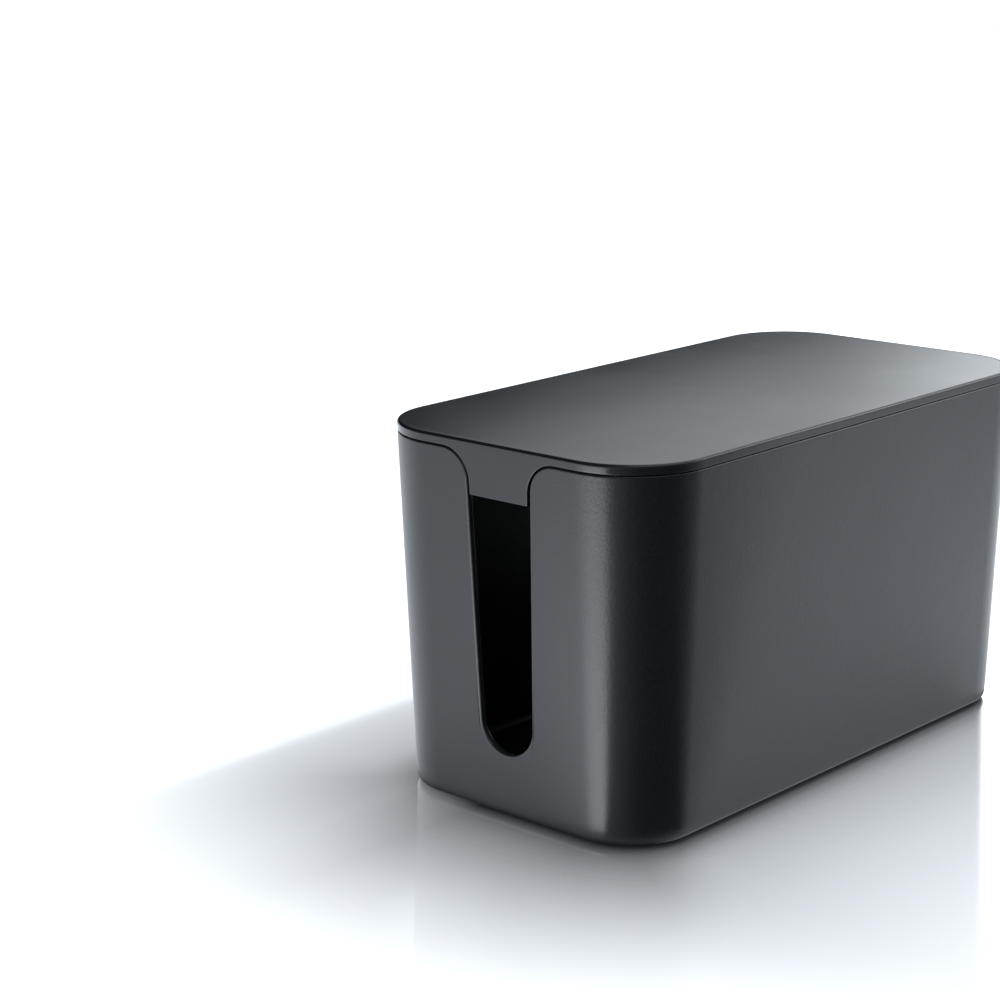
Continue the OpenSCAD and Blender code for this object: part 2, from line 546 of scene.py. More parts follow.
def outer_lip():
    """The band's lower edge on the end, then round the flap to its middle: the points,
    the way into the material, and the y where the column meets the lid's top."""
    flare_out, flare_low = flare_middle(flap_gap, seam_gap)
    level, level_way = straight(
        (centre_y, band_z), (flare_out, band_z), (0, 1), skirt_end_count
    )
    flare, flare_way = flare_arc(flap_gap, seam_gap)
    side_top = flare_low + (slot_flare + flap_gap) * math.sin(slot_draft)
    touch_z = skirt_z + flap_corner * (1 - math.sin(slot_draft))
    side, side_way = straight(
        side_point(side_top, flap_gap), side_point(touch_z, flap_gap), -lean, flap_side_count
    )
    middle = side_point(touch_z, flap_gap) - flap_corner * lean
    angle = run(slot_draft, math.pi / 2, flap_corner_count)
    out = np.stack([np.cos(angle), -np.sin(angle)], 1)
    corner = middle + flap_corner * out
    bottom_y = np.linspace(middle[0], 0, flap_bottom_count)
    bottom = np.stack([bottom_y, np.full(flap_bottom_count, skirt_z)], 1)
    lip = np.concatenate([level, flare, side, corner, bottom])
    way = np.concatenate([
        level_way, flare_way, side_way, -out, np.tile((0, 1), (flap_bottom_count, 1)),
    ])
    turn = run(0, math.pi / 2 - slot_draft, flare_count)
    inner = 0.43 * flare_y
    past_side, past_corner = 0.92 * inner, 0.86 * inner
    top = np.concatenate([
        level[:, 0],
        mix(flare_out, inner, np.sin(turn)),
        run(inner, past_side, flap_side_count),
        run(past_side, past_corner, flap_corner_count),
        np.linspace(past_corner, 0, flap_bottom_count),
    ])
    return lip, way, top


def inner_lip(count):
    """The skirt's lower edge on the end: level, round a small corner, up the window's
    leaning side and over its flare, to where it meets the ledge. It has count columns."""
    corner_turn = math.pi / 2 + slot_draft
    touch_z = skirt_z + flap_corner * (1 + math.sin(slot_draft))
    middle = side_point(touch_z, 0) + flap_corner * lean
    side_top = flare_z + slot_flare * math.sin(slot_draft)
    level, level_way = straight(
        (centre_y, skirt_z), (middle[0], skirt_z), (0, 1), skirt_level_count
    )
    angle = run(0, corner_turn, skirt_corner_count)
    out = np.stack([-np.sin(angle), -np.cos(angle)], 1)
    corner = middle + flap_corner * out
    side, side_way = straight(
        side_point(touch_z, 0), side_point(side_top, 0), lean, skirt_side_count
    )
    left = count - skirt_level_count - skirt_corner_count - skirt_side_count
    turn = np.linspace(math.pi / 2 - slot_draft, 0, left)
    flare_out = np.stack([-np.sin(turn), np.cos(turn)], 1)
    flare = np.array([flare_y, flare_z]) + slot_flare * flare_out
    return (np.concatenate([level, corner, side, flare]),
            np.concatenate([level_way, -out, side_way, -flare_out]))


outer_end, outer_end_way, top_end = outer_lip()
lid_plan = quarter_plan(outer_end[:, 0])
outer_y = lid_plan[1]
outer_z = np.concatenate([np.full(before, band_z), outer_end[:, 1]])
outer_way_y = np.concatenate([np.zeros(before), outer_end_way[:, 0]])
outer_way_z = np.concatenate([np.ones(before), outer_end_way[:, 1]])
top_y = np.concatenate([np.full(before, centre_y), top_end])

# The skirt is carried by the columns up to and with the flare's first one.
skirt_count = skirt_end_count + 1
inner_end, inner_end_way = inner_lip(skirt_count)
print("the lid's quarter has", len(outer_y), "columns,", skirt_count, "carry the skirt's end")


# %% The lid's ledge
def ledge_line():
    """The y at which each column crosses the ledge: straight in from the outer lip while
    that is above the ledge, and then in even proportion to the top, down to the middle."""
    above = outer_z >= rim_z
    hinge = np.nonzero(above)[0][-1]
    return np.where(above, outer_y, outer_y[hinge] * top_y / top_y[hinge]), ~above


ledge_y, on_flap = ledge_line()
after = len(outer_y) - before - skirt_count
inner_y = np.concatenate([np.full(before, centre_y), inner_end[:, 0], ledge_y[-after:]])
inner_z = np.concatenate([np.full(before, skirt_z), inner_end[:, 1], np.full(after, rim_z)])
inner_way_y = np.concatenate([np.zeros(before), inner_end_way[:, 0], np.zeros(after)])
inner_way_z = np.concatenate([np.ones(before), inner_end_way[:, 1], np.zeros(after)])
edge_inset = np.where(on_flap, flap_thickness, seam_depth)
print(int(on_flap.sum()), "columns come down the flap, and", after, "pass inside the window")

# %% [markdown]
# The rows of the lid start at the middle of the top, cross it, turn over the edge and
# come down the band or flap. Then they go round the outer lip, up or down to the ledge,
# along it, round the skirt, and back under the plate to the middle.

# %% The lid's rows
top_angle = np.linspace(math.pi / 2, -draft, 8)
top_touch_z = height - top_radius - top_radius * math.sin(draft)
top_middle = face(top_touch_z) - top_radius * math.cos(draft)
top_arc_reach = top_middle + top_radius * np.cos(top_angle)
top_arc_z = height - top_radius + top_radius * np.sin(top_angle)


def between(start, stop, inset_start, inset_stop, shares):
    """Rows that lead from one (y, z) line to another on a wall, with the inset changing
    in the same proportion."""
    shares = down(shares)
    y = mix(start[0], stop[0], shares)
    z = mix(start[1], stop[1], shares)
    return stand(lid_plan, y, face(z, mix(inset_start, inset_stop, shares)), z)


def round_lip(line, way, first, last, radius_out, radius_in, steps=4):
    """Rows over a lip, from the wall at inset first to the wall at inset last: a quarter
    round goes down to the lip's edge, and a second one comes back up behind it. A
    radius can be nought where a column has no such round."""
    angle = down(np.linspace(0, math.pi / 2, steps + 1))
    out, back = np.ones_like(line[0]) * radius_out, np.ones_like(line[0]) * radius_in
    into = np.concatenate([out * (1 - np.sin(angle)), back * (1 - np.sin(angle[::-1]))])
    inset = np.concatenate([
        first + out * (1 - np.cos(angle)), last - back * (1 - np.cos(angle[::-1])),
    ])
    z = line[1] + into * way[1]
    return stand(lid_plan, line[0] + into * way[0], face(z, inset), z)


outer_line, outer_way = (outer_y, outer_z), (outer_way_y, outer_way_z)
inner_line, inner_way = (inner_y, inner_z), (inner_way_y, inner_way_z)
level_line = (ledge_y, np.full_like(ledge_y, rim_z))
plate_line = (ledge_y, np.full_like(ledge_y, plate_z))
outer_held = tuple(l + (edge_radius + hold) * w for l, w in zip(outer_line, outer_way))
top_line = (top_y, np.full_like(top_y, top_arc_z[-1]))
has_skirt = inner_way_z**2 + inner_way_y**2 > 0.5
skirt_edge = np.where(has_skirt, lip_radius, 0)
inner_hold = skirt_edge + hold * has_skirt
inner_held = tuple(l + inner_hold * w for l, w in zip(inner_line, inner_way))
flap_edge = np.where(on_flap, edge_radius, 0)
flap_back = tuple(l + flap_edge * w for l, w in zip(outer_line, outer_way))

top_rows = stand(lid_plan, top_y, down(top_arc_reach), down(top_arc_z))
plate_ring = stand(lid_plan, ledge_y, face(plate_z, hollow_inset), plate_z)
band_edge = round_lip(outer_line, outer_way, 0, edge_inset, edge_radius, flap_edge)
lid_parts = [
    (to_middle(top_rows[0], level_shares[::-1]), 0),
    (top_rows, 1),
    (between(top_line, outer_held, 0, 0, [0.15, 0.5, 0.85, 1]), 0),
    (band_edge, np.repeat([1, 0], len(band_edge) // 2)),
    (between(flap_back, level_line, edge_inset, edge_inset, [0.06, 0.5, 0.94, 1]), 0),
    (between(level_line, level_line, edge_inset, skirt_inset, [0.1, 0.5, 0.9, 1]), 0),
    (between(level_line, inner_held, skirt_inset, skirt_inset, [0.06, 0.35, 0.7, 1]), 0),
    (round_lip(inner_line, inner_way, skirt_inset, hollow_inset, skirt_edge, skirt_edge), 0),
    (between(inner_held, level_line, hollow_inset, hollow_inset, [0, 0.3, 0.65, 0.94, 1]), 0),
    (between(level_line, plate_line, hollow_inset, hollow_inset, [0.5, 1]), 0),
    (to_middle(plate_ring, level_shares), 0),
]
lid_rows = np.concatenate([rows for rows, _ in lid_parts])
lid_worn = np.concatenate([np.broadcast_to(worn, len(rows)) for rows, worn in lid_parts])
print("the lid's profile has", len(lid_rows), "rows,", int(lid_worn.sum()), "of them worn")

# %% [markdown]
# Beside each flap, a short rounded rib stands out from the skirt. It is what grips the
# tub's wall. It is a whole long capsule, with its back sunk a little into the skirt. Its
# surface turns a full circle about the long axis, and the ends are closed by letting the
# radius run out along a quarter circle.

# %% The catch ribs
catch_z = (rim_z + skirt_z) / 2
catch_y = (slot_half(catch_z) + centre_y) / 2
catch_x = centre_x + face(catch_z, skirt_inset) + skirt_gap - catch_gap - catch_radius


def catch_rib():
    """A capsule that lies along y: the radius follows a quarter circle at each end and
    is full between them, and each station is a full circle about the axis."""
    bulge = np.linspace(0, math.pi / 2, 9)
    half = catch_length / 2 - catch_radius
    first, last = -half - catch_radius * np.cos(bulge), half + catch_radius * np.sin(bulge)
    along = np.concatenate([first, last])
    radius = catch_radius * np.concatenate([np.sin(bulge), np.cos(bulge)])
    turn = np.linspace(0, 2 * math.pi, 33)
    x = catch_x + radius[:, None] * np.cos(turn)
    z = catch_z + radius[:, None] * np.sin(turn)
    return np.stack([x, np.broadcast_to(catch_y + along[:, None], x.shape), z], -1)


print(f"a catch rib lies {catch_y / MM:.1f} mm from the middle, at {catch_z / MM:.1f} mm height")


# %% The lid
lid_grids = [(lid_rows, lid_worn), (catch_rib(), 0.4)]
lid = make_piece("lid_moulding", *four_ways(*gather(lid_grids)))
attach(lid, "lid")
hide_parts("lid")

# %% [markdown]
# ## The feet
# Four discs of black rubber sit in the recesses and hold the box a millimetre off the
# table, which is the dark line under the walls. A disc is a profile turned round its
# axis: the middle of the sole, its rounded edge, the side and the hidden back.

# %% The feet
back_edge = 0.1 * MM


def disc(x, y):
    """The foot's profile (radius, height) turned through a full circle about (x, y)."""
    angle = np.linspace(0, math.pi / 2, 6)
    radius = np.concatenate([
        [0, foot_radius * 0.5], foot_radius - foot_edge * (1 - np.sin(angle)),
        [foot_radius, foot_radius - back_edge, 0],
    ])
    z = np.concatenate([
        [0, 0], foot_edge * (1 - np.cos(angle)), [foot_top - back_edge, foot_top, foot_top],
    ])
    turn = np.linspace(0, 2 * math.pi, 49)
    ring_x = x + radius[:, None] * np.cos(turn)
    ring_y = y + radius[:, None] * np.sin(turn)
    return np.stack([ring_x, ring_y, np.broadcast_to(z[:, None], ring_x.shape)], -1)


feet = []
for side, sx in (("left", -1), ("right", 1)):
    for end, sy in (("front", -1), ("back", 1)):
        node = f"foot_{end}_{side}"
        grid = disc(sx * centre_x, sy * centre_y)
        foot = make_piece(f"rubber_{node}", *gather([(grid, 0)]))
        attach(foot, "box")
        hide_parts(node)
        feet.append(foot)

# %% [markdown]
# ## How a finish is built
# A finish is a small graph of nodes. Values that are the same all over are typed into
# the shader itself. What varies is worked out from the object's own coordinates, which
# are metres here. So a noise whose scale is one over a millimetre has grains a millimetre
# across on every piece, and the grain doesn't stretch or slide.

# %% Node helpers
def node(tree, kind, inputs=None, **settings):
    """A new node. Settings go on the node and inputs into its sockets, by name or number:
    an input that is a socket of another node is linked, and any other is a plain value."""
    new = tree.nodes.new("ShaderNode" + kind)
    for name, value in settings.items():
        setattr(new, name, value)
    for name, value in (inputs or {}).items():
        if isinstance(value, bpy.types.NodeSocket):
            tree.links.new(value, new.inputs[name])
        else:
            new.inputs[name].default_value = value
    return new


def grain(tree, at, size, detail=2.0, rough=0.5, stretch=(1, 1, 1)):
    """Noise from 0 to 1, about 0.5, whose grains are size metres across, times stretch."""
    scaled = node(tree, "Mapping", {"Vector": at, "Scale": [1 / (size * s) for s in stretch]})
    noise = node(tree, "TexNoise", {
        "Vector": scaled.outputs[0], "Scale": 1.0, "Detail": detail, "Roughness": rough,
    })
    return noise.outputs["Fac"]


def spread(tree, value, low, high, bottom=0.3, top=0.7):
    """The value moved from bottom..top to low..high, without going past either."""
    return node(tree, "MapRange", {
        "Value": value, "From Min": bottom, "From Max": top, "To Min": low, "To Max": high,
    }).outputs[0]


def plus(tree, a, b):
    """The sum of two values."""
    return node(tree, "Math", {0: a, 1: b}, operation="ADD").outputs[0]


def times(tree, a, b):
    """The product of two values."""
    return node(tree, "Math", {0: a, 1: b}, operation="MULTIPLY").outputs[0]


def blend(tree, share, a, b):
    """The colour that lies the given share of the way from a to b."""
    inputs = {"Factor": share, "A": a, "B": b}
    return node(tree, "Mix", inputs, data_type="RGBA").outputs["Result"]


def raised(tree, high, depth, below=None):
    """A normal that follows the value high, which is depth metres deep from 0 to 1."""
    inputs = {"Height": high, "Distance": depth, "Strength": 1.0}
    if below:
        inputs["Normal"] = below
    return node(tree, "Bump", inputs).outputs[0]


print(f"a noise with grains of 1 mm has scale {1 / MM:.0f}")


# %% Finish helpers
def new_finish(name):
    """An empty material with a shader: the tree, the shader and the coordinates."""
    material = bpy.data.materials.new(name)
    material.use_nodes = True
    tree = material.node_tree
    shader = tree.nodes["Principled BSDF"]
    at = node(tree, "TexCoord").outputs["Object"]
    return material, tree, shader, at


def dress(piece, finish):
    """Gives the piece its finish."""
    piece.data.materials.append(finish)
    print(f"{piece.name}: {finish.name}, {len(finish.node_tree.nodes)} nodes")


dark_black = (0.0074, 0.0082, 0.0093, 1)
light_black = (0.0096, 0.0105, 0.0117, 1)
speck_grey = (0.024, 0.0255, 0.028, 1)
polished_black = (0.014, 0.0152, 0.0166, 1)
handled_black = (0.012, 0.0131, 0.0144, 1)
print("the two blacks of the plastic:", dark_black[:3], light_black[:3])

# %% [markdown]
# ## The case plastic
# The tub's mould is spark-eroded, which leaves a fine pebbled grain of pits about a
# millimetre across. On a dark plastic the grain is seen only where the light changes, as
# a broken edge to each highlight. Under it lies a faint waviness from the way the plastic
# shrank on to the core, and broad patches where it cooled faster and came out glossier.
# Edges are polished by hands and cables.
#
# An image of real grain would need seams and a fixed size. Noise on the object's own
# coordinates goes round the corners and over the lip without a seam.

# %% The case plastic
case_pit_depth = 0.048 * MM
case_wave_depth = 0.03 * MM


def case_plastic():
    """Grain, waviness and patches as bump and roughness, with polished edges."""
    material, tree, shader, at = new_finish("case_plastic")
    pits = grain(tree, at, 1.0 * MM, detail=2, rough=0.6)
    waves = grain(tree, at, 6 * MM, detail=1)
    patches = grain(tree, at, 40 * MM, detail=3, stretch=(1, 1, 1.6))
    specks = grain(tree, at, 0.4 * MM, detail=1)
    worn = node(tree, "Attribute", attribute_name="wear").outputs["Fac"]
    polish = times(tree, worn, spread(tree, patches, 0.3, 1))

    roughness = plus(tree, spread(tree, patches, 0.31, 0.37), spread(tree, pits, -0.02, 0.03))
    roughness = plus(tree, roughness, spread(tree, polish, 0, -0.07, 0, 1))
    tree.links.new(roughness, shader.inputs["Roughness"])

    tone = blend(tree, spread(tree, patches, 0, 1), dark_black, light_black)
    speck = spread(tree, specks, 0, 0.5, 0.5, 0.8)
    speckled = blend(tree, speck, tone, speck_grey)
    edge = spread(tree, polish, 0, 0.6, 0, 1)
    edged = blend(tree, edge, speckled, polished_black)
    tree.links.new(edged, shader.inputs["Base Color"])

    wavy = raised(tree, waves, case_wave_depth)
    tree.links.new(raised(tree, pits, case_pit_depth, wavy), shader.inputs["Normal"])
    return material


dress(tub, case_plastic())

# %% [markdown]
# ## The lid's plastic
# The lid is the same black plastic out of a smoother mould. It is seen at a low angle,
# where even black plastic mirrors a good part of what stands behind it, so its top shows
# a soft grey gradient. Pits as deep as the tub's would break that up. So the lid's are
# finer and eight times shallower, and the softness comes from the roughness, which
# wanders in broad patches. Fingers lift the lid by its edges, which have gone a little
# duller and paler.

# %% The lid's plastic
lid_pit_depth = 0.006 * MM
lid_wave_depth = 0.02 * MM


def lid_plastic():
    """Fine shallow pits and long waves as bump, broad patches and dull edges."""
    material, tree, shader, at = new_finish("lid_plastic")
    pits = grain(tree, at, 0.45 * MM, detail=2, rough=0.55)
    waves = grain(tree, at, 14 * MM, detail=1)
    patches = grain(tree, at, 50 * MM, detail=3)
    worn = node(tree, "Attribute", attribute_name="wear").outputs["Fac"]

    roughness = plus(tree, spread(tree, patches, 0.16, 0.20), spread(tree, pits, -0.01, 0.01))
    roughness = plus(tree, roughness, spread(tree, worn, 0, 0.06, 0, 1))
    tree.links.new(roughness, shader.inputs["Roughness"])

    tone = blend(tree, spread(tree, patches, 0, 1), dark_black, light_black)
    edge = spread(tree, worn, 0, 0.5, 0, 1)
    edged = blend(tree, edge, tone, handled_black)
    tree.links.new(edged, shader.inputs["Base Color"])

    wavy = raised(tree, waves, lid_wave_depth)
    tree.links.new(raised(tree, pits, lid_pit_depth, wavy), shader.inputs["Normal"])
    return material


dress(lid, lid_plastic())

# %% [markdown]
# ## The rubber
# Rubber has no clear highlights: it is rougher than the plastic, and a little browner
# than black. One noise drives its roughness, its tone and its pits together, so the high
# grains are also the dull and pale ones, as where they have rubbed on a table.

# %% The rubber
rubber_black = (0.010, 0.010, 0.010, 1)
rubbed_grey = (0.018, 0.018, 0.019, 1)
rubber_pit_depth = 0.06 * MM


def foot_rubber():
    """One noise of grains 0.6 mm across as roughness, tone and bump."""
    material, tree, shader, at = new_finish("foot_rubber")
    pits = grain(tree, at, 0.6 * MM, detail=3)
    tree.links.new(spread(tree, pits, 0.62, 0.8), shader.inputs["Roughness"])
    tone = blend(tree, spread(tree, pits, 0, 1), rubber_black, rubbed_grey)
    tree.links.new(tone, shader.inputs["Base Color"])
    tree.links.new(raised(tree, pits, rubber_pit_depth), shader.inputs["Normal"])
    return material


rubber = foot_rubber()
for foot in feet:
    dress(foot, rubber)

# %% [markdown]
# ## The floor
# The box stands on a white acrylic sheet. Close to the box the sheet mirrors it, and the
# mirror image fades with distance, as it does when the sheet is a little rough. So the
# floor is a mix of two sheets: a mirror and a white one. The share of mirror depends on
# how far a point of the floor lies from the foot of the walls, and it has one curve
# beside an end and another in front of a long side.
#
# The white sheet has to look white. It is lit by the same lamps as the box, which keeps
# the box's shadow on it, and the rest of its white is added for the camera and for
# reflections only, so that no extra light falls on the box.
#
# The walls are black and lean back, so what they mirror is the sheet, a few centimetres
# away. It gives them most of their tone. For reflections the added white is painted light
# on a curve of its own: a painted shade makes it dim close to the box, it grows over the
# first centimetres, and it falls off slowly after that, painted to follow the lamps.
#
# The curves are written as formulas with a few values each, and not drawn through many
# points, so each value has a meaning and can be changed by itself.

# %% The floor's values
paper_white = 0.8
mirrored_paper = 0.1
near_lift, far_lift = 0.62, 1.0
plain_white = (1, 1, 1, 1)
# A painted reflection tint: the white that the camera sees is a little bluer close to the box.
near_painted_reflection_tint = (0.97, 1.0, 1.045, 1)
mirrored_tint = (0.90, 0.985, 1.07, 1)
mirror_tint = (0.96, 0.985, 1, 1)
# Painted contact shadow: the mirror's colour under the box, half as bright.
mirror_painted_shadow_tint = (0.5, 0.5, 0.5, 1)
mirror_roughness = 0.06
flat_inset = 5 * MM

# Where each change starts and where it is over: at distances from the walls, at places
# along y, at places along x, and at turns of the nearest wall.
lift_change, tint_change = (0.15, 0.9), (0.05, 0.2)
# The first pair spans a painted contact shade in the glow that reflections see; under the box
# that glow is cut out.
painted_contact_span, under_box = (5 * MM, 13 * MM), (2.5 * MM, 5 * MM)
side_to_end, behind_box = (-60 * MM, 10 * MM), (15 * MM, 45 * MM)
past_far_end = (112 * MM, 130 * MM)
end_to_side_turn = (0.75, 0.98)

# The mirror image: the share that is lost at once, how soon, and where the rest ends.
end_image = (0.08, 10 * MM, 133 * MM)
side_image = (0.29, 14 * MM, 205 * MM)

# The painted white that reflections see, standing in for lamp light: its strength at the
# walls and 0.4 m away, without the painted shade of the box, and then how deep that
# painted shade is and how far it reaches.
end_white = (1.75, 1.55, 0.40, 55 * MM)
side_white = (1.33, 1.01, 0.37, 60 * MM)
far_off = 400 * MM

# A height above every point of the floor, so that only x and y count.
above_all = 9
print(f"the mirror image ends {end_image[2] / MM:.0f} mm from an end, "
      f"{side_image[2] / MM:.0f} mm from a side")


# %% Helpers for the floor
def seen_directly(tree):
    """1 for rays from the camera, from a glossy surface or through glass, and 0 for the
    soft light between surfaces."""
    path = node(tree, "LightPath").outputs
    return plus(tree, plus(tree, path["Is Camera Ray"], path["Is Glossy Ray"]),
                path["Is Transmission Ray"])


def from_walls(tree, at):
    """Distance from the flat of the underside, which ends a little inside the foot of the
    walls: the length of what |x|, |y| have beyond the corner centres, less a radius. Also
    the turn of the nearest wall, as the y share of that length: 0 beside an end and 1 in
    front of a side."""
    size = node(tree, "VectorMath", {0: at}, operation="ABSOLUTE").outputs[0]
    corner = (centre_x, centre_y, above_all)
    past = node(tree, "VectorMath", {0: size, 1: corner}, operation="SUBTRACT").outputs[0]
    past = node(tree, "VectorMath", {0: past, 1: (0, 0, 0)}, operation="MAXIMUM").outputs[0]
    reach = node(tree, "VectorMath", {0: past}, operation="LENGTH").outputs["Value"]
    way = node(tree, "VectorMath", {0: past}, operation="NORMALIZE").outputs[0]
    radius = face(0) - flat_inset
    distance = node(tree, "Math", {0: reach, 1: radius}, operation="SUBTRACT").outputs[0]
    return distance, node(tree, "SeparateXYZ", {0: way}).outputs["Y"]


def swap(tree, switch, off, on):
    """off where the switch is 0, on where it is 1, and evenly from one to the other."""
    inputs = {"Value": switch, "To Min": off, "To Max": on}
    return node(tree, "MapRange", inputs).outputs[0]


def nearness(tree, distance, length):
    """exp(-(distance / length) squared): 1 at the walls, and little past the length."""
    ahead = spread(tree, distance, 0, 1 / length, 0, 1)
    power = times(tree, times(tree, ahead, ahead), -1.0)
    return node(tree, "Math", {0: power}, operation="EXPONENT").outputs[0]


def image_share(tree, distance, lost, length, reach):
    """The lost share times the nearness, plus the rest, which falls evenly to 0 at reach."""
    rest = spread(tree, distance, 1 - lost, 0, 0, reach)
    return plus(tree, times(tree, nearness(tree, distance, length), lost), rest)


def glow_with_painted_shade(tree, distance, at_walls, away, shade, length):
    """The strength of a painted glow, which changes evenly from at_walls to away, times one
    less the shade times the nearness, which paints the shadow of the box."""
    level = spread(tree, distance, at_walls, away, 0, far_off)
    near = nearness(tree, distance, length)
    return times(tree, level, spread(tree, near, 1, 1 - shade, 0, 1))


print(f"the flat of the underside has corners of {(face(0) - flat_inset) / MM:.1f} mm radius")


# %% The two sheets of the floor
def mirror_share(tree, distance, turn, place):
    """The share of mirror: the end's curve turns into the side's as the nearest wall
    turns. It is less behind the box and beyond its far end, where no mirror image of a
    wall is seen."""
    share = swap(tree, spread(tree, turn, 0, 1, *end_to_side_turn),
                 image_share(tree, distance, *end_image),
                 image_share(tree, distance, *side_image))
    share = times(tree, share, spread(tree, place["Y"], 1, 0.8, *behind_box))
    return times(tree, share, spread(tree, place["X"], 1, 0.2, *past_far_end))


def painted_glow_for_reflections(tree, distance, turn, place):
    """The painted white that reflections see, in place of lamp light on the sheet: the side's
    curve in front of y = -60 mm and the end's behind y = 10 mm, with painted shade where the
    walls nearly touch the sheet, and none under the box."""
    side_y, end_y = side_to_end
    lift = node(tree, "MapRange", {
        "Value": place["Y"], "From Min": end_y, "From Max": side_y,
        "To Min": glow_with_painted_shade(tree, distance, *end_white),
        "To Max": glow_with_painted_shade(tree, distance, *side_white),
    }).outputs[0]
    # Painted contact shade: the glow is dimmed close to the walls, most beside an end.
    painted_contact_dimming = node(tree, "MapRange", {
        "Value": distance, "From Min": painted_contact_span[0], "From Max": painted_contact_span[1],
        "To Min": spread(tree, turn, 0.15, 0.9, 0.85, 1),
    }).outputs[0]
    lift = times(tree, lift, painted_contact_dimming)
    return times(tree, lift, spread(tree, distance, 0, 1, *under_box))


def floor_finish():
    """A white sheet and a mirror, mixed by distance from the walls. Reflections see the
    white sheet alone, so the box isn't mirrored in its own mirror image."""
    material, tree, shader, at = new_finish("floor_sheet")
    tree.nodes.remove(shader)
    distance, turn = from_walls(tree, at)
    place = node(tree, "SeparateXYZ", {0: at}).outputs
    mirrored = node(tree, "LightPath").outputs["Is Glossy Ray"]

    whiteness = spread(tree, mirrored, paper_white, mirrored_paper, 0, 1)
    paper = node(tree, "BsdfDiffuse", {"Color": whiteness})
    direct = spread(tree, distance, near_lift, far_lift, *lift_change)
    strength = swap(tree, mirrored, direct, painted_glow_for_reflections(tree, distance, turn, place))
    # Painted reflection tint: close to the box the white that the camera sees is tinted bluer,
    # fading out by 0.2 m.
    fading = spread(tree, distance, 0, 1, *tint_change)
    painted_reflection_tinted = blend(tree, fading, near_painted_reflection_tint, plain_white)
    lift = node(tree, "Emission", {
        "Color": blend(tree, mirrored, painted_reflection_tinted, mirrored_tint),
        "Strength": times(tree, seen_directly(tree), strength),
    })
    white = node(tree, "AddShader", {0: paper.outputs[0], 1: lift.outputs[0]})

    # Painted contact shadow: the mirror is half as bright under the box and reaches its full
    # tint at the foot of the walls.
    painted_shadow_fade = spread(tree, distance, 0, 1, 0, flat_inset)
    tint = blend(tree, painted_shadow_fade, mirror_painted_shadow_tint, mirror_tint)
    mirror = node(tree, "BsdfGlossy", {"Color": tint, "Roughness": mirror_roughness})
    share = swap(tree, mirrored, mirror_share(tree, distance, turn, place), 0.0)
    mixed = node(tree, "MixShader", {0: share, 1: white.outputs[0], 2: mirror.outputs[0]})
    tree.links.new(mixed.outputs[0], tree.nodes["Material Output"].inputs["Surface"])
    return material


# %% The floor
floor_size = 8
bpy.ops.mesh.primitive_plane_add(size=floor_size)
floor = bpy.context.object
floor.name = "floor"
dress(floor, floor_finish())

# %% [markdown]
# ## The studio
# Black plastic shows little of its own colour. It shows what stands around it, so the
# light is built from what each face mirrors: a white room, two softboxes, and cards that
# cut the white away where the plastic should stay dark.
#
# The room is the world. The camera and reflections see it white, and as a light on soft
# surfaces it is a third as bright, because the softboxes give the rest.

# %% The room
room_white = (0.92, 0.98, 1.03, 1)
room_fill = 0.35
world = bpy.data.worlds.new("studio")
world.use_nodes = True
tree = world.node_tree
seen = seen_directly(tree)
by_camera = node(tree, "LightPath").outputs["Is Camera Ray"]
backdrop = tree.nodes["Background"].inputs
tree.links.new(blend(tree, by_camera, room_white, plain_white), backdrop["Color"])
tree.links.new(swap(tree, seen, room_fill, 1.0), backdrop["Strength"])
bpy.context.scene.world = world
bpy.context.scene.view_settings.view_transform = "Standard"
print(f"the room is white, and gives {room_fill:.0%} of the soft light of a white one")

# %% [markdown]
# The softboxes are rectangles a metre away, so the shadow of the box is soft. One stands
# low at the right end and one high at the front. The other two fill in the shadows from
# the left and from above. They would show as bright lines in the rounded edges, so
# reflections don't see them, as if they were flagged off.

# %% The softboxes
lamp_colour = (0.915, 0.985, 1.06)


def place_on(turn, rise, distance):
    """The point at a compass turn from +X and a rise, in degrees, from the box's middle."""
    turn, rise = math.radians(turn), math.radians(rise)
    return Vector((
        distance * math.cos(rise) * math.cos(turn),
        distance * math.cos(rise) * math.sin(turn),
        height / 2 + distance * math.sin(rise),
    ))


def softbox(name, place, size, radiance):
    """A square lamp that faces the middle of the box. Its power is radiance times pi times
    its area, so radiance 1 looks as bright as white paper in plain light."""
    data = bpy.data.lights.new(name, "AREA")
    data.shape = "RECTANGLE"
    data.size, data.size_y = size, size
    data.color = lamp_colour
    data.energy = radiance * math.pi * size * size
    lamp = bpy.data.objects.new(name, data)
    lamp.location = place
    aim = Vector((0, 0, height / 2)) - place
    lamp.rotation_euler = aim.to_track_quat("-Z", "Y").to_euler()
    lamp.visible_camera = False
    bpy.context.scene.collection.objects.link(lamp)
    print(f"{name}: {data.energy:.2f} W")
    return lamp


softbox("softbox_right", place_on(0, 12, 1.0), 0.4, 5)
softbox("softbox_front", place_on(-32, 30, 1.0), 0.4, 3)
softbox("softbox_left", place_on(165, 40, 1.0), 0.4, 2.5).visible_glossy = False
softbox("softbox_top", Vector((0, 0, 1.3)), 0.8, 3).visible_glossy = False

# %% [markdown]
# ## The cards
# A photographer shapes black plastic with cards: a black one cuts the light out of a
# face, a white one puts it in, and the change from one to the other is the edge of the
# highlight. Here one card can be both, because each of its points has a tone of its own.
# Only reflections see the cards, so they take no light from the box and cast no shadow.

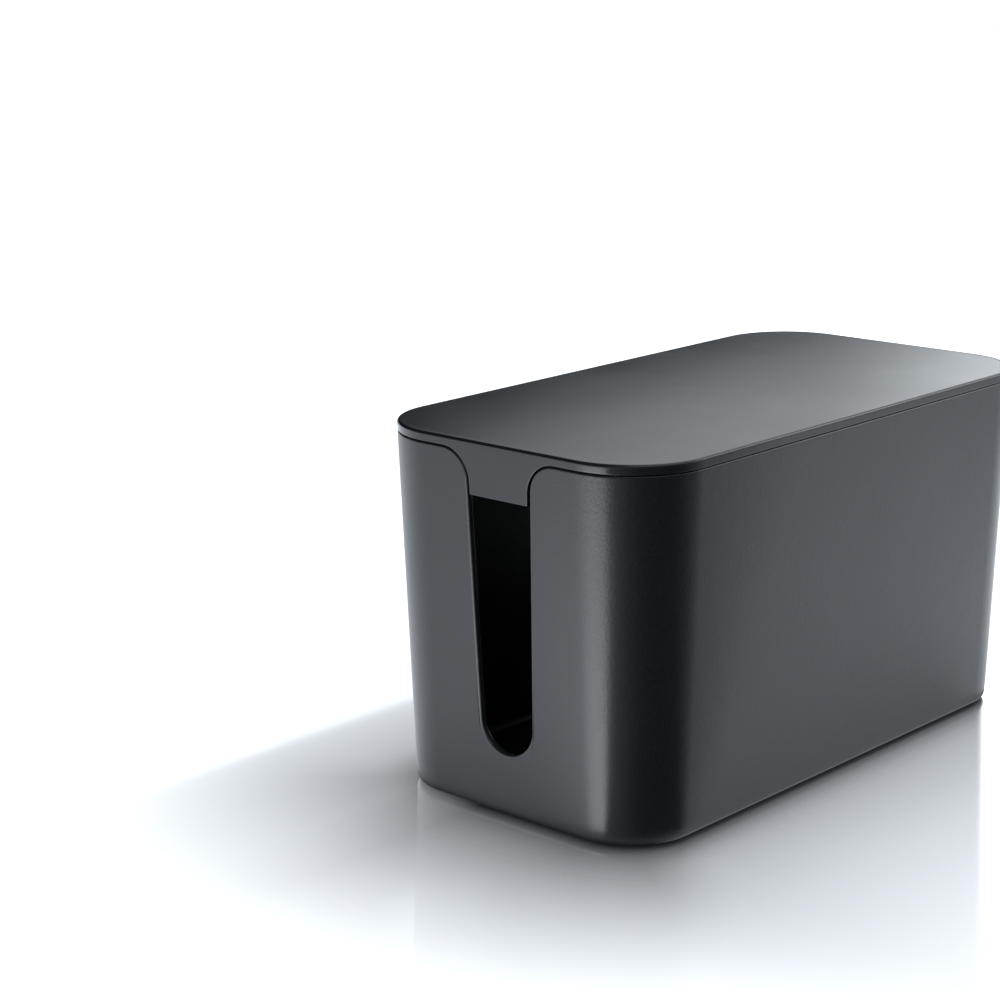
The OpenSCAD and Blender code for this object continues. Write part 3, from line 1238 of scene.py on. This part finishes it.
# %% How a card is made
def card_finish(name, opaque):
    """A glow as strong as the card's own tone, on its front only. An opaque card hides
    what is behind it, and the other kind adds its glow to it."""
    material, tree, shader, _ = new_finish(name)
    tree.nodes.remove(shader)
    tone = node(tree, "Attribute", attribute_name="tone").outputs["Fac"]
    clear = node(tree, "BsdfTransparent").outputs[0]
    front = node(tree, "Emission", {"Color": room_white, "Strength": tone}).outputs[0]
    if not opaque:
        front = node(tree, "AddShader", {0: clear, 1: front}).outputs[0]
    behind = node(tree, "NewGeometry").outputs["Backfacing"]
    mixed = node(tree, "MixShader", {0: behind, 1: front, 2: clear})
    tree.links.new(mixed.outputs[0], tree.nodes["Material Output"].inputs["Surface"])
    return material


def card(name, grid, tone, finish):
    """A card from a grid of points, with a tone at each point: 0 is black and 1 is white."""
    rows, columns = grid.shape[:2]
    mesh = bpy.data.meshes.new(name)
    mesh.from_pydata(grid.reshape(-1, 3).tolist(), [], quads(rows, columns).tolist())
    values = np.broadcast_to(tone, (rows, columns)).ravel()
    mesh.attributes.new("tone", "FLOAT", "POINT").data.foreach_set("value", values)
    mesh.materials.append(finish)
    piece = bpy.data.objects.new(name, mesh)
    bpy.context.scene.collection.objects.link(piece)
    piece.visible_camera = False
    piece.visible_diffuse = False
    piece.visible_shadow = False
    piece.visible_transmission = False
    print(f"{name}: {rows} x {columns} points, tone up to {values.max():.2f}")
    return piece


opaque_card = card_finish("opaque_card", True)
clear_card = card_finish("clear_card", False)
print("two kinds of card:", opaque_card.name, "and", clear_card.name)

# %% [markdown]
# The front left corner turns through a quarter circle, and mirrors everything from the
# left of the camera to its right. A black card wraps it at a few millimetres, which makes
# the deep black band down the corner, and runs on along the long side, growing lighter.

# %% The card round the corner
almost_black = 0.06
edge_light = 0.39
edge_columns = 3.5
round_count = 13
front_card_height = 220 * MM
foot_distance = 6 * MM
outward_lean = 0.4


def front_card():
    """Rows go up and columns go round. The card stands 6 mm off the foot of the wall and
    leans out by 0.4 of its height. It turns round the corner from the place where the
    highlight ends, which falls back with height, and then follows the long side. Its tone
    is almost black. The edge light is added times exp(-(column / edge columns) squared),
    and along the side the tone grows to white as the 1.1th power of the way."""
    z = np.linspace(0, front_card_height, 4)[:, None]
    apart = foot_distance + outward_lean * z
    radius = face(0) + apart
    first = np.radians(mix(15, 10, z / z[-1]))
    turn = mix(first, math.pi / 2, np.linspace(0, 1, round_count))
    round_x = -centre_x - radius * np.cos(turn)
    round_y = -centre_y - radius * np.sin(turn)
    share = np.linspace(0, 1, 15)[1:]
    along_x = -centre_x + 2.2 * (apart - (face(z) - face(0))) * share
    along_y = np.broadcast_to(-centre_y - radius, along_x.shape)
    x, y = np.hstack([round_x, along_x]), np.hstack([round_y, along_y])
    grid = np.stack([x, y, np.broadcast_to(z, x.shape)], -1)
    column = np.arange(round_count)
    light_edge = almost_black + edge_light * np.exp(-(column / edge_columns) ** 2)
    return grid, np.concatenate([light_edge, mix(almost_black, 1, share**1.1)])


card("card_front", *front_card(), opaque_card)

# %% [markdown]
# The bright line beside that band is a strip light. It lies on the floor, because a wall
# that leans back mirrors the floor. A second, weaker one lightens the edge of the box at
# the front right corner.

# %% The strip lights
above_floor = 0.5 * MM
flat_columns = 8


def strip(flat, turn, corner, swing, glow):
    """A strip light laid on the floor, where a corner mirrors it. Each column starts at
    the wall and runs the way that one facing of the wall mirrors the camera's view: first
    along the flat wall, which ends at the corner, and then round the corner. The view is
    turned by the swing there, from the middle of the picture. The glow grows from nought
    along the flat wall, and follows its own values round the corner."""
    flat = run(flat, 0, flat_columns)
    turn = np.radians(turn)
    facing = np.concatenate([np.full(flat_columns, turn[0]), turn])
    ahead = np.concatenate([flat, np.zeros(len(turn))])
    start_x = corner[0] - face(height / 2) * np.cos(facing) - ahead * math.sin(turn[0])
    start_y = corner[1] - face(height / 2) * np.sin(facing) + ahead * math.cos(turn[0])
    way = 2 * facing + view_turn + math.radians(swing)
    reach = np.array([8, 40, 100, 200, 420])[:, None] * MM
    x = start_x - reach * np.cos(way)
    y = start_y - reach * np.sin(way)
    tone = np.concatenate([run(0, glow[0], flat_columns), glow])
    return np.stack([x, y, np.full_like(x, above_floor)], -1), tone


# The left strip's glow climbs from low to high as 1 - exp(-(angle / climb) squared), in
# degrees. The right strip glows evenly.
low_glow, high_glow, climb = 0.5, 4.2, 7
even_glow = 0.55
left_turn = np.linspace(0, 24, 25)
left_glow = mix(low_glow, high_glow, 1 - np.exp(-(left_turn / climb) ** 2))
left_strip = strip(22 * MM, left_turn, (-centre_x, -centre_y), 5.5, left_glow)
right_turn = np.linspace(90, 130, 9)
right_glow = np.full_like(right_turn, even_glow)
right_strip = strip(18 * MM, right_turn, (centre_x, -centre_y), 17.5, right_glow)
card("card_left_strip", *left_strip, clear_card)
card("card_right_strip", *right_strip, clear_card)

# %% [markdown]
# The lid lies flat, so it mirrors what stands behind the box, a little higher than the
# lid itself. That is a tall panel, black on the left and bright on the right. Its lower
# edge is soft, and draws the change from dark to light along the far edge of the lid. The
# panel turns forward on the left and leans in overhead, which keeps the rounded edges
# dark.

# %% The panel behind the box
panel_y = 0.4
turn_x = -0.3
dark_edge = 0.2
bright_edge = 0.62
horizon = 250 * MM
soft_height = 14 * MM
growth = 0.11
step_height = 1.15
step_width = 0.28


def back_card():
    """Rows go up and columns go from right to left. The panel stands at panel_y as far as
    turn_x, and then turns forward on a quarter circle. Above 0.5 m it leans in, and the
    last row is drawn in to close the top. Its tone is the product of three: a curve
    across, a rise of 1 - exp(-height / soft height) above the horizon, and a fade towards
    the top. The curve across grows from the dark edge as 1.1 (1 - exp(-distance /
    growth)), and takes a smooth step up at the bright edge, 3 s^2 - 2 s^3 of its height."""
    z = np.array([140, 232, 250, 254, 259, 265, 275, 288, 305, 340, 400, 500, 700, 950, 1100])
    z = z[:, None] * MM
    lean_in = np.interp(z, [0.5, 0.95], [0, 0.1])
    turn = np.radians(np.linspace(90, 180, 16))[1:]
    flat_x = np.linspace(1.5, turn_x, 46)
    x = np.concatenate([flat_x, turn_x + panel_y * np.cos(turn), [-0.7, -0.7]])
    y = np.concatenate([np.full_like(flat_x, panel_y), panel_y * np.sin(turn), [-0.12, -0.25]])
    x = np.where(x < turn_x, x + lean_in, x + 0 * z)
    y = np.where(y > 0, y * (1 - lean_in / panel_y), y + 0 * z)
    plain = 1.1 * (1 - np.exp(-np.maximum(x - dark_edge, 0) / growth))
    step = np.clip((x - bright_edge) / step_width, 0, 1)
    across = plain + step_height * step**2 * (3 - 2 * step)
    inward = np.where(z > 1, 0.15, 1)
    grid = np.stack([x * inward, y * inward, np.broadcast_to(z, x.shape)], -1)
    rise = 1 - np.exp(-np.maximum(z - horizon, 0) / soft_height)
    fade = np.interp(z, [0.4, 0.6, 0.95, 1.1], [1, 0.6, 0.3, 0])
    return grid, across * rise * fade


card("card_back", *back_card(), opaque_card)
